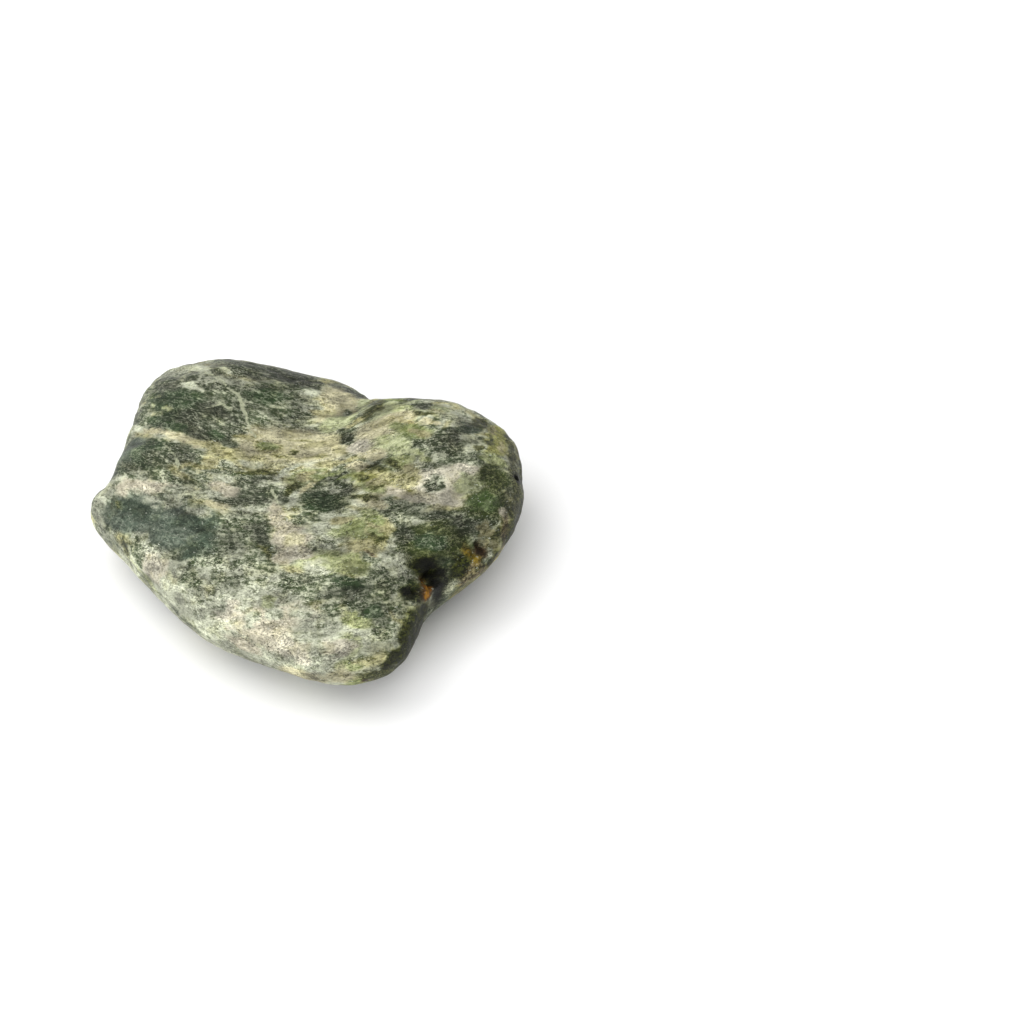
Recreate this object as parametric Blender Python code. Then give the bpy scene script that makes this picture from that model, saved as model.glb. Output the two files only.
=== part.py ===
"""Greenstone pebble: one river-worn stone, broad and flattish, resting on the worn flat of its underside.

Frame: millimetres are turned into metres at the end. +X runs along the stone's width, +Y along its depth and +Z is up.
The origin is under the middle of the stone's box, on the surface that it rests on.
"""

import math

import bmesh
import bpy
import numpy as np
from mathutils import Vector, noise

MM = 0.001

# The outline: how far the stone's girdle lies from its axis, every 15 degrees anticlockwise from +X.
GIRDLE_RADII = (
    34.0, 35.0, 34.5, 29.0, 25.5, 27.0,
    27.0, 30.5, 35.5, 35.0, 32.0, 30.0,
    32.0, 28.0, 26.5, 26.5, 27.0, 28.0,
    30.5, 34.0, 34.0, 30.5, 29.5, 32.0,
)
# How far the stone rises above its girdle and reaches below it, and how boxy its section is (2 is an ellipse).
CROWN_RISE = 10.5
UNDER_DEPTH = 10.5
CROWN_FULLNESS = 2.5
UNDER_FULLNESS = 2.6
REST_CUT = 0.4

# A place on the skin is a side of the stone and two numbers: x and y on the "top" or "under" it, or, on its "side",
# the bearing in degrees and the height above the girdle.

# Humps and hollows: the place, the radius and the rise, which is negative for a hollow.
SWELLS = (
    # the high hump at the back left, and the lower one in front of it
    (("top", -15.0, 19.0), 12.0, 1.8),
    (("top", -23.0, 5.0), 6.0, 0.6),
    # the right lobe, which stands above the middle of the stone
    (("top", 21.0, 7.0), 12.0, 1.3),
    (("top", 25.0, -1.0), 6.0, 0.5),
    # the small dark dome in the middle, and the smooth one at the left front
    (("top", 4.0, -6.0), 6.0, 0.5),
    (("top", -18.0, -9.0), 8.0, 0.6),
    # the eye of the right lobe
    (("top", 19.5, -2.0), 2.8, -0.45),
    # the saddle in the back edge, the bay in the left edge and the bite at the right front
    (("side", 63.0, 0.0), 8.0, -1.6),
    (("side", 166.0, 1.0), 7.0, -1.2),
    (("side", -46.0, 0.0), 7.0, -2.0),
    # two rusty pits and a small one in the right front
    (("top", 19.0, -17.5), 1.9, -1.5),
    (("top", 26.5, -10.8), 1.9, -1.1),
    (("side", 9.0, 2.0), 1.1, -0.8),
    # shallow dents of the pale front, the back and the underside
    (("side", -100.0, 1.0), 5.0, -0.5),
    (("side", -140.0, -1.0), 5.5, -0.5),
    (("side", 120.0, -2.0), 7.0, -0.6),
    (("under", -12.0, 14.0), 8.0, -0.9),
    (("under", 18.0, 4.0), 9.0, -0.8),
    (("under", -16.0, -10.0), 8.0, -0.7),
)

# Long folds of the top: the x and y that each runs through, its half width and its rise, negative for a trough.
FOLDS = (
    # the pale trough from the saddle to the left edge
    (((8.0, 21.0), (6.0, 13.0), (1.0, 7.5), (-7.0, 8.0), (-15.0, 6.0), (-22.0, 10.0), (-29.0, 15.0)), 3.8, -0.7),
    # the trough from the bay in the left edge to the middle
    (((-31.0, 2.5), (-24.0, -1.0), (-15.0, -4.5), (-7.0, -8.5), (-3.0, -14.0)), 3.2, -0.45),
    # the crease along the left of the right lobe
    (((9.5, 18.5), (8.5, 14.0), (6.5, 9.0)), 1.4, -0.55),
    # the low ledge that arches over the small dome
    (((-2.0, -6.5), (0.5, -3.0), (5.0, -0.8), (10.0, -0.2), (14.0, -1.5)), 1.5, 0.25),
    # the pale lip under the two pits
    (((30.0, -9.5), (25.0, -16.0), (20.5, -21.0)), 1.5, 0.6),
)

# Worn faces: the bearing and the slope of the way that each looks, in degrees, and how deep it bites.
WORN_FACES = (
    (-42.0, 52.0, 1.7),
    (-98.0, 50.0, 1.4),
    (-150.0, 55.0, 1.0),
    (118.0, 55.0, 1.0),
    (28.0, 48.0, 1.1),
    (-20.0, -45.0, 1.2),
    (150.0, -50.0, 1.2),
    (70.0, -48.0, 1.2),
)
FACE_SOFTNESS = 0.7

# The unevenness that a river leaves: the spacing of the bumps and their height.
UNEVENNESS = ((11.0, 0.45), (5.0, 0.16))

# The ball that is shaped, and the share of its triangles that the finished stone keeps.
BALL_SUBDIVISIONS = 7
KEPT_SHARE = 0.115

CUTTER_SIZE = (200.0, 200.0, 20.0)

JADE_GREEN = (0.13, 0.17, 0.12, 1.0)
POLISH_ROUGHNESS = 0.42


def clear_scene():
    for obj in list(bpy.data.objects):
        bpy.data.objects.remove(obj)


def girdle_radius(bearing):
    """A smooth closed curve through the outline's radii, read at any bearing in radians."""
    values = np.asarray(GIRDLE_RADII)
    count = len(values)
    # The slopes of a closed cubic solve slope[i-1] + 4 slope[i] + slope[i+1] = 3 (value[i+1] - value[i-1]).
    matrix = 4 * np.eye(count) + np.roll(np.eye(count), 1, axis=1) + np.roll(np.eye(count), -1, axis=1)
    slopes = np.linalg.solve(matrix, 3 * (np.roll(values, -1) - np.roll(values, 1)))
    place = np.asarray(bearing) / (2 * math.pi) * count
    low = np.floor(place).astype(int) % count
    high = (low + 1) % count
    t = place - np.floor(place)
    return (
        values[low] * (1 + 2 * t) * (1 - t) ** 2
        + slopes[low] * t * (1 - t) ** 2
        + values[high] * t**2 * (3 - 2 * t)
        + slopes[high] * t**2 * (t - 1)
    )


def worn_blank(directions):
    """The stone before its humps and hollows, a rounded section turned through the outline, and which way it faces."""
    bearing = np.arctan2(directions[:, 1], directions[:, 0])
    flat = np.hypot(directions[:, 0], directions[:, 1])
    up = directions[:, 2]
    fullness = np.where(up > 0, CROWN_FULLNESS, UNDER_FULLNESS)
    rise = np.where(up > 0, CROWN_RISE, UNDER_DEPTH)
    reach = (flat**fullness + np.abs(up) ** fullness) ** (-1 / fullness)
    radius = girdle_radius(bearing)
    outward = np.stack([np.cos(bearing), np.sin(bearing)], axis=1)
    points = np.column_stack([(radius * flat * reach)[:, None] * outward, rise * up * reach])
    sideways = (flat * reach) ** (fullness - 1) / radius
    upward = np.sign(up) * (np.abs(up) * reach) ** (fullness - 1) / rise
    facing = np.column_stack([sideways[:, None] * outward, upward])
    return points, facing / np.linalg.norm(facing, axis=1)[:, None]


def place_on_skin(side, first, second):
    """The point of the blank at a place on its top, its underside or its side."""
    if side == "side":
        bearing = math.radians(first)
        fullness, rise = (CROWN_FULLNESS, CROWN_RISE) if second > 0 else (UNDER_FULLNESS, UNDER_DEPTH)
        reach = girdle_radius(bearing) * (1 - abs(second / rise) ** fullness) ** (1 / fullness)
        return np.array([reach * math.cos(bearing), reach * math.sin(bearing), second])
    fullness, rise = (CROWN_FULLNESS, CROWN_RISE) if side == "top" else (UNDER_FULLNESS, -UNDER_DEPTH)
    share = min(math.hypot(first, second) / girdle_radius(math.atan2(second, first)), 1.0)
    return np.array([first, second, rise * (1 - share**fullness) ** (1 / fullness)])


def distance_to_run(points, run):
    """How far each point lies from a run of straight stretches."""
    nearest = np.full(len(points), np.inf)
    for start, end in zip(run[:-1], run[1:]):
        along = end - start
        share = np.clip((points - start) @ along / (along @ along), 0, 1)
        nearest = np.minimum(nearest, np.linalg.norm(points - start - share[:, None] * along, axis=1))
    return nearest


def relief(points):
    """How far the humps, hollows and folds lift each point of the blank's skin."""
    lift = np.zeros(len(points))
    for place, radius, rise in SWELLS:
        distance = np.linalg.norm(points - place_on_skin(*place), axis=1)
        lift += rise * np.exp(-((distance / radius) ** 2))
    for route, half_width, rise in FOLDS:
        run = [place_on_skin("top", x, y) for x, y in route]
        lift += rise * np.exp(-((distance_to_run(points, run) / half_width) ** 2))
    for spacing, height in UNEVENNESS:
        lift += height * np.array([noise.noise(Vector(point) / spacing) for point in points])
    return lift


def worn_faces(points):
    """Brings the skin down softly to the flat faces that wear has left on it."""
    for bearing, slope, bite in WORN_FACES:
        bearing, slope = math.radians(bearing), math.radians(slope)
        flat = math.cos(slope)
        way = np.array([flat * math.cos(bearing), flat * math.sin(bearing), math.sin(slope)])
        height = points @ way
        excess = (height - height.max() + bite) / FACE_SOFTNESS
        points = points - np.outer(FACE_SOFTNESS * np.logaddexp(0, excess), way)
    return points


def shaped_points(directions):
    """The stone's skin, with its lowest point on the ground and its box centred over the origin."""
    blank, facing = worn_blank(directions)
    points = worn_faces(blank + relief(blank)[:, None] * facing)
    low, high = points.min(axis=0), points.max(axis=0)
    return points - [(low[0] + high[0]) / 2, (low[1] + high[1]) / 2, low[2]]


def stone_material():
    material = bpy.data.materials.new("jade_green_stone")
    material.use_nodes = True
    shader = material.node_tree.nodes["Principled BSDF"]
    shader.inputs["Base Color"].default_value = JADE_GREEN
    shader.inputs["Roughness"].default_value = POLISH_ROUGHNESS
    shader.inputs["Metallic"].default_value = 0.0
    return material


def shaped_ball():
    """A ball of even triangles, with each point moved out to the stone's skin."""
    mesh = bpy.data.meshes.new("greenstone_pebble")
    ball = bmesh.new()
    bmesh.ops.create_icosphere(ball, subdivisions=BALL_SUBDIVISIONS, radius=1.0)
    ball.to_mesh(mesh)
    ball.free()
    directions = np.empty(len(mesh.vertices) * 3)
    mesh.vertices.foreach_get("co", directions)
    directions = directions.reshape(-1, 3)
    directions /= np.linalg.norm(directions, axis=1)[:, None]
    mesh.vertices.foreach_set("co", (shaped_points(directions) * MM).ravel())
    mesh.update()
    mesh.shade_smooth()
    return mesh


def rest_cutter(collection):
    """A slab whose top is the ground, which takes off the lowest skin and leaves the flat that the stone rests on."""
    mesh = bpy.data.meshes.new("rest_cutter")
    slab = bmesh.new()
    bmesh.ops.create_cube(slab, size=1.0)
    slab.to_mesh(mesh)
    slab.free()
    cutter = bpy.data.objects.new("rest_cutter", mesh)
    collection.objects.link(cutter)
    cutter.scale = [side * MM for side in CUTTER_SIZE]
    cutter.location.z = -CUTTER_SIZE[2] / 2 * MM
    cutter.hide_render = True
    cutter.display_type = "WIRE"
    return cutter


def build():
    clear_scene()
    stone_parts = bpy.data.collections.new("Greenstone pebble")
    cutters = bpy.data.collections.new("Cutters")
    for collection in (stone_parts, cutters):
        bpy.context.scene.collection.children.link(collection)

    stone = bpy.data.objects.new("pebble", shaped_ball())
    stone.data.materials.append(stone_material())
    stone_parts.objects.link(stone)
    stone.location.z = -REST_CUT * MM

    fewer = stone.modifiers.new("fewer_faces", "DECIMATE")
    fewer.ratio = KEPT_SHARE
    cut = stone.modifiers.new("worn_flat", "BOOLEAN")
    cut.operation = "DIFFERENCE"
    cut.object = rest_cutter(cutters)


build()
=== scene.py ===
# %% [markdown]
# A greenstone pebble is one piece of rock that a river has tumbled. Its outside tells two stories: the lumps, folds
# and pits that the water left, and the layers of dark and pale minerals that it cut through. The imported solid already
# has the big forms at their real size, so this lesson only makes the fine skin and the finish, and then lights it.
# We start by loading that solid, because everything that follows is measured from it.

# %% Load the solid
import itertools
import math

import bmesh
import bpy
import numpy as np
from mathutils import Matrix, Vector
from mathutils.bvhtree import BVHTree


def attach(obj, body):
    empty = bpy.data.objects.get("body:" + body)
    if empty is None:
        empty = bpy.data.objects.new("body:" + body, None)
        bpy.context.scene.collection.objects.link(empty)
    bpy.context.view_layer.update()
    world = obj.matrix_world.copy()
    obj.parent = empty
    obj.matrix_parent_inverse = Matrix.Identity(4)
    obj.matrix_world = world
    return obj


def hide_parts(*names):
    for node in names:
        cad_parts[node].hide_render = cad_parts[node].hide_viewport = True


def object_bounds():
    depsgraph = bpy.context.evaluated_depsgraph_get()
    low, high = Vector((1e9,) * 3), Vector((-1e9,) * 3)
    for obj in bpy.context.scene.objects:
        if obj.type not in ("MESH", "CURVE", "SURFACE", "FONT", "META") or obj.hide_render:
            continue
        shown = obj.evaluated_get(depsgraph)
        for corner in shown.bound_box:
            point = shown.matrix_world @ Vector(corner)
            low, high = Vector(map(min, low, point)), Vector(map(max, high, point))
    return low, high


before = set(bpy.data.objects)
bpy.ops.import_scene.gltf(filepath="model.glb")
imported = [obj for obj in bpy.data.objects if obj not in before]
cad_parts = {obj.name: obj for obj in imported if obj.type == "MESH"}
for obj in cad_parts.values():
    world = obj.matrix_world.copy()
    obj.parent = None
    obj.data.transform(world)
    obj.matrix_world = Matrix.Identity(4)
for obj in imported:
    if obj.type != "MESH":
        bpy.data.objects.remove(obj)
solid_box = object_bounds()
MM = 0.001
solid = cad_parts["pebble"]
print("the stone is", [round((high - low) / MM, 1) for low, high in zip(*solid_box)], "mm")

# %% [markdown]
# The solid is faceted, with triangles about a millimetre and a half across, and a polished stone shows every facet.
# A Subdivision Surface would keep the uneven net of triangles. A voxel remesh gives small even faces instead, and a
# Smooth modifier then melts the facets into one another, much as tumbling in sand does. The copy is a new mesh, so
# the solid itself stays as it was packed.

# %% A fine, even skin
WELD = 0.001 * MM
VOXEL = 0.335 * MM
MELTING = 0.5
MELTING_ROUNDS = 36


def fine_skin(source):
    cage = source.data.copy()
    welded = bmesh.new()
    welded.from_mesh(cage)
    bmesh.ops.remove_doubles(welded, verts=welded.verts, dist=WELD)
    welded.to_mesh(cage)
    welded.free()
    piece = bpy.data.objects.new("pebble_skin", cage)
    bpy.context.scene.collection.objects.link(piece)
    remesh = piece.modifiers.new("even_faces", "REMESH")
    remesh.mode = "VOXEL"
    remesh.voxel_size = VOXEL
    melt = piece.modifiers.new("melt_facets", "SMOOTH")
    melt.factor = MELTING
    melt.iterations = MELTING_ROUNDS
    skin = bpy.data.meshes.new_from_object(piece.evaluated_get(bpy.context.evaluated_depsgraph_get()))
    piece.modifiers.clear()
    piece.data = skin
    skin.materials.clear()
    skin.shade_smooth()
    return piece


pebble = fine_skin(solid)
print("the fine skin has", len(pebble.data.polygons), "faces")

# %% [markdown]
# Fine lumps and colour patches both need noise: a smooth random height for each point of space. Blender has one for
# single points, but the skin has nearly a hundred thousand, so we work the same gradient noise out for all of them at
# once with numpy. The seed picks the pattern, and the same seed gives the same stone every time.

# %% Noise for many points at once
NOISE_TABLE = 256
NOISE_GAIN = 1.6


def noise(points, spacing, seed):
    """Smooth noise between about -1 and 1, with its bumps about one spacing apart."""
    chance = np.random.default_rng(seed)
    slopes = chance.normal(size=(NOISE_TABLE, 3))
    slopes /= np.linalg.norm(slopes, axis=1)[:, None]
    shuffle = chance.permutation(NOISE_TABLE)
    cell = np.floor(points / spacing).astype(int)
    inside = points / spacing - cell
    blend = inside**3 * (inside * (inside * 6 - 15) + 10)
    total = np.zeros(len(points))
    for corner in itertools.product((0, 1), repeat=3):
        x, y, z = (cell + corner).T % NOISE_TABLE
        pick = shuffle[(x + shuffle[(y + shuffle[z]) % NOISE_TABLE]) % NOISE_TABLE]
        weight = np.prod(np.where(corner, blend, 1 - blend), axis=1)
        total += weight * (slopes[pick] * (inside - corner)).sum(axis=1)
    return NOISE_GAIN * total


def smooth_step(low, high, values):
    share = np.clip((values - low) / (high - low), 0, 1)
    return share * share * (3 - 2 * share)


def read_points(mesh):
    points = np.empty(len(mesh.vertices) * 3)
    mesh.vertices.foreach_get("co", points)
    return points.reshape(-1, 3) / MM


def write_points(mesh, points):
    mesh.vertices.foreach_set("co", (points * MM).ravel())
    mesh.update()


def read_facing(mesh):
    facing = np.empty(len(mesh.vertices) * 3)
    mesh.vertices.foreach_get("normal", facing)
    return facing.reshape(-1, 3)


# %% [markdown]
# This rock is layered. Its minerals grew as thin sheets, which were later bent, so on the skin they show as streaks
# that all run one way: they fall from the upper left, level out in the middle and climb again on the right. We write
# that as a slope for each distance across the stone. Adding the slopes up gives the bent sheets themselves, and a
# point's height above its sheet is the coordinate that runs across the streaks.

# %% How the layers run
STREAK_X = (-32.0, -12.0, -5.0, 2.0, 8.0, 14.0, 20.0, 32.0)
STREAK_SLOPE = (-0.4, -0.45, -0.25, 0.0, 0.8, 0.5, 0.35, 0.35)
BEND_FADES_FROM = -28.0
BEND_FULL_AT = 16.0
LEAST_BEND = 0.3
SHEET_DIP = 0.3
PAST_THE_ENDS = 4.0
STEPS_ACROSS = 400


def layer_coordinates(points):
    """Millimetres along the streaks, across them, and into the stone."""
    x_steps = np.linspace(STREAK_X[0] - PAST_THE_ENDS, STREAK_X[-1] + PAST_THE_ENDS, STEPS_ACROSS)
    slopes = np.interp(x_steps, STREAK_X, STREAK_SLOPE)
    climb = np.cumsum(slopes) * (x_steps[1] - x_steps[0])
    climb -= np.interp(0.0, x_steps, climb)
    bend = LEAST_BEND + (1 - LEAST_BEND) * smooth_step(BEND_FADES_FROM, BEND_FULL_AT, points[:, 1])
    across = points[:, 1] - np.interp(points[:, 0], x_steps, climb) * bend + SHEET_DIP * points[:, 2]
    return np.stack([points[:, 0], across, points[:, 2]], axis=1)


# %% [markdown]
# Pits and colour patches have their places on the stone. A place on the top is given as a plan point, and one on a
# steep side as a bearing and a height. A ray is shot at the stone from above or from that side, and the place is where
# it lands. A plan point just off the stone takes the nearest point of the rim.

# %% Places on the skin
RAY_START = 90.0
RIM_HEIGHT = 9.0


class Skin:
    """Answers where the stone's surface is: above a plan point, or at a bearing and height on its side."""

    def __init__(self, mesh):
        corners = [vertex.co / MM for vertex in mesh.vertices]
        faces = [tuple(polygon.vertices) for polygon in mesh.polygons]
        self.tree = BVHTree.FromPolygons(corners, faces)

    def place(self, side, first, second):
        if side == "side":
            bearing = math.radians(first)
            start = Vector((RAY_START * math.cos(bearing), RAY_START * math.sin(bearing), second))
            way = Vector((-math.cos(bearing), -math.sin(bearing), 0))
        else:
            start = Vector((first, second, RAY_START))
            way = Vector((0, 0, -1))
        hit = self.tree.ray_cast(start, way)[0]
        if hit is None:
            hit = self.tree.find_nearest(Vector((first, second, RIM_HEIGHT)))[0]
        return np.array(hit)


skin = Skin(pebble.data)

# %% [markdown]
# The skin of the real stone isn't as even as glass. The softer minerals wore a little lower than the hard ones, which
# leaves low ripples along the layers, small dents all over, and a few real pits. We push each point along its own
# facing, by a fraction of a millimetre for most of them. The pits at the right front are dug with a flat floor and a
# sharp edge, which a plain round dent wouldn't have. A few wide swells and hollows of up to about a millimetre bend the
# outline a little. Nothing may stand proud of the solid's box, so the points are clipped to it at the end.

# %% Ripples, dents, pits and swells
# Each ripple has its spacing, its height and the seed of its noise.
RIPPLES = ((3.2, 0.17, 11), (1.7, 0.13, 12), (0.9, 0.08, 13))
RIPPLE_STRETCH = np.array([0.45, 1.0, 0.8])
DENTS = 150
DENT_RADIUS = (0.35, 1.1)
DENT_DEPTH = 0.16
DENT_STRENGTH = (0.3, 1.0)
DENT_SEED = 5
PIT_FLOOR = 0.45
PIT_RIM = 1.25
RAGGED_RIM = 0.25
RAGGED_SPACING = 0.9
RAGGED_SEED = 21
# Each pit has its place, its radius, its depth and how much longer than wide it is along X.
PITS = (
    (("top", 19.4, -16.8), 1.35, 1.8, 1.4),
    (("top", 17, -19.9), 0.7, 0.45, 1),
    (("side", -20, 13.4), 0.9, 0.8, 1.4),
    (("side", -24, 12.9), 0.7, 0.3, 0.8),
    (("side", 7, 14), 0.6, 0.5, 1),
    (("top", 19.7, -3), 1.2, 0.25, 1.2),
)
# Swells, and hollows where the height is negative, each have their place, their radius and their height.
SWELLS = (
    (("side", 158, 12), 5, 0.15),
    (("side", 147, 12), 3.5, -0.4),
    (("side", 131, 13), 4.5, 0.7),
    (("side", 163, 8), 4, -0.5),
    (("side", 173, 14), 2.8, -0.9),
    (("side", 157, 14), 3, 0.4),
    (("side", 110, 13), 5, -0.7),
    (("side", 86, 12), 6, -0.3),
    (("side", 70, 10), 4, 1),
    (("side", 56, 9), 7, -1.2),
    (("side", 26, 12), 4, 0.4),
    (("side", 21, 9), 4, 0.4),
    (("side", -100, 8), 7, 0.3),
)


def ripples(points):
    layered = layer_coordinates(points) * RIPPLE_STRETCH
    return sum(height * noise(layered, spacing, seed) for spacing, height, seed in RIPPLES)


def dents_pits_and_swells(points):
    lift = np.zeros(len(points))
    chance = np.random.default_rng(DENT_SEED)
    for centre in points[chance.choice(len(points), DENTS, replace=False)]:
        radius = chance.uniform(*DENT_RADIUS)
        near = np.linalg.norm(points - centre, axis=1) / radius
        lift -= DENT_DEPTH * radius * chance.uniform(*DENT_STRENGTH) * np.exp(-(near**2))
    ragged = noise(points, RAGGED_SPACING, RAGGED_SEED)
    for place, radius, depth, longer in PITS:
        away = (points - skin.place(*place)) / [longer, 1, 1]
        near = np.linalg.norm(away, axis=1) / radius + RAGGED_RIM * ragged
        lift -= depth * (1 - smooth_step(PIT_FLOOR, PIT_RIM, near))
    for place, radius, height in SWELLS:
        near = np.linalg.norm(points - skin.place(*place), axis=1) / radius
        lift += height * np.exp(-(near**2))
    return lift


points = read_points(pebble.data)
rippled = ripples(points)
lift = rippled + dents_pits_and_swells(points)
points += lift[:, None] * read_facing(pebble.data)
lowest, highest = np.array(solid_box) / MM
points = np.clip(points, lowest, highest)
write_points(pebble.data, points)
print("fine relief done, lowest point", round(points[:, 2].min(), 3), "mm")

# %% [markdown]
# Now the colour. Up close the stone is gritty: grains of a pale mineral lie between grains of a dark one, and what
# changes from place to place is how many there are of each, and their hue. So a pigment here is a recipe: the dark
# grains' colour, the pale grains' colour (red, green and blue from 0 to 255, as the eye sees them) and the share of
# pale ones. A few pigments polished smoother than the rest, so they keep less of the grit. Recipes are painted on the
# skin's points, one patch after another, and the material sows the grains later. Paint on a mesh this fine wraps round
# the sides and the underside with no seam.

# %% The pigments
# Each has its dark grains, its pale grains, the share of pale ones and how much grit it keeps.
PIGMENTS = {
    "black": ((3, 5, 1), (26, 26, 12), 0.05, 1.0),
    "soot": ((24, 13, 2), (56, 38, 16), 0.20, 1.0),
    "deep green": ((43, 58, 35), (148, 158, 130), 0.19, 0.75),
    "leaf green": ((56, 72, 36), (104, 117, 80), 0.38, 0.5),
    "olive green": ((46, 55, 24), (136, 142, 100), 0.24, 0.7),
    "deep grey": ((44, 51, 34), (168, 171, 148), 0.26, 1.0),
    "deep olive": ((46, 51, 22), (138, 139, 94), 0.28, 1.0),
    "dark olive": ((18, 23, 1), (80, 85, 30), 0.28, 1.0),
    "slate": ((64, 74, 63), (113, 122, 106), 0.42, 0.45),
    "dark slate": ((50, 62, 49), (98, 110, 92), 0.35, 0.5),
    "flecked green": ((54, 64, 41), (176, 180, 154), 0.38, 1.0),
    "grey mottle": ((78, 84, 62), (188, 191, 168), 0.55, 1.0),
    "olive drab": ((92, 90, 58), (158, 154, 118), 0.55, 0.7),
    "olive mottle": ((88, 88, 46), (186, 182, 138), 0.56, 1.0),
    "sage": ((96, 105, 62), (168, 173, 128), 0.56, 0.8),
    "moss": ((88, 98, 54), (148, 155, 110), 0.52, 0.6),
    "pale green": ((110, 119, 76), (184, 189, 148), 0.64, 0.8),
    "pale grey": ((114, 119, 96), (190, 193, 170), 0.68, 0.8),
    "cream": ((116, 113, 80), (190, 185, 152), 0.72, 0.85),
    "pink cream": ((124, 120, 98), (188, 182, 160), 0.72, 0.75),
    "yellow cream": ((106, 101, 62), (184, 178, 136), 0.60, 1.0),
    "yellow green": ((88, 90, 34), (160, 160, 96), 0.58, 1.0),
    "white": ((122, 119, 97), (204, 199, 178), 0.76, 0.85),
    "tan": ((46, 40, 20), (136, 125, 96), 0.42, 1.0),
    "brown": ((42, 33, 16), (102, 86, 58), 0.35, 1.0),
    "ochre": ((60, 52, 8), (124, 104, 34), 0.50, 1.0),
    "rust": ((84, 48, 2), (150, 96, 16), 0.50, 1.0),
    "bright rust": ((116, 76, 4), (172, 120, 22), 0.60, 1.0),
}


def recipe(name):
    dark, pale, share, grit = PIGMENTS[name]
    return np.array([*dark, *pale, share, grit], float)


# %% [markdown]
# First the ground under the patches. It is what the hidden sides show too, so it has to look like the same rock: wide
# bands of dark and pale that follow the layers, broken up by cloudier noise. The value of that noise walks through a
# few of the pigments, from dark to pale.

# %% The ground colour
GROUND = ("deep green", "deep grey", "flecked green", "grey mottle", "olive mottle", "pale grey", "cream")
GROUND_STOPS = (-0.75, -0.4, -0.15, 0.05, 0.25, 0.5, 0.8)
BAND_STRETCH = np.array([0.4, 1.0, 0.7])

layered = layer_coordinates(points)
banded = layered * BAND_STRETCH
# Wide bands, clouds and narrow bands: each has its points, its strength, its spacing and its seed.
BANDING = ((banded, 0.75, 6.5, 51), (points, 0.35, 4.5, 52), (banded, 0.35, 2.2, 53))
banding = sum(strength * noise(at, spacing, seed) for at, strength, spacing, seed in BANDING)
ground_recipes = np.array([recipe(name) for name in GROUND])
paint_coat = np.stack([np.interp(banding, GROUND_STOPS, column) for column in ground_recipes.T], axis=1)
print("the ground runs from", GROUND[0], "to", GROUND[-1])

# %% [markdown]
# The patches follow. Each has a place, a length, a width, a turn in degrees and a pigment. A clean ellipse would look
# like a sticker, so before measuring how far a point lies from a patch, the point is shifted by noise that is
# stretched along the layers. That one shift makes all the edges ragged and streaky together. A patch's middle is
# shifted with the skin under it, so the patch stays where it was put.

# %% Painting one patch
EDGE = 0.26
LEAST_DEPTH = 3.5
DEPTH_SHARE = 0.45
# Each shift has the spacing of its noise, how far it reaches and its first seed.
WARP = ((3.0, 0.35, 31), (1.3, 0.6, 41), (0.7, 0.5, 71))


def warped(at, along):
    """The points as the patches see them, shifted by noise that is stretched along the layers."""
    shifted = at.copy()
    for spacing, reach, seed in WARP:
        for axis in range(3):
            shifted[:, axis] += reach * noise(along * BAND_STRETCH, spacing, seed + axis)
    return shifted


seen = warped(points, layered)


def paint(side, first, second, length, width, turn, pigment, edge=EDGE):
    """Lays one patch of pigment over the coat of paint. The warp makes its edge ragged but doesn't move its middle."""
    turn = math.radians(turn)
    if side == "side":
        bearing = math.radians(first)
        level = np.array([-math.sin(bearing), math.cos(bearing), 0.0])
        upward = np.array([0.0, 0.0, 1.0])
    else:
        level = np.array([1.0, 0.0, 0.0])
        upward = np.array([0.0, 1.0, 0.0])
    along = math.cos(turn) * level + math.sin(turn) * upward
    across = math.cos(turn) * upward - math.sin(turn) * level
    inward = np.cross(level, upward)
    middle = np.linalg.norm(points - skin.place(side, first, second), axis=1).argmin()
    away = seen - seen[middle]
    deep = max(LEAST_DEPTH, DEPTH_SHARE * length)
    far = np.sqrt((away @ along / length * 2) ** 2 + (away @ across / width * 2) ** 2 + (away @ inward / deep) ** 2)
    mask = 1 - smooth_step(1 - edge, 1 + edge, far)
    paint_coat[:] += mask[:, None] * (recipe(pigment) - paint_coat)


# %% [markdown]
# The top is painted from above, in millimetres from the stone's middle: +X to the right and +Y to the back. Large areas
# come first in each group and the small touches after them, because a later patch covers an earlier one.

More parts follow.
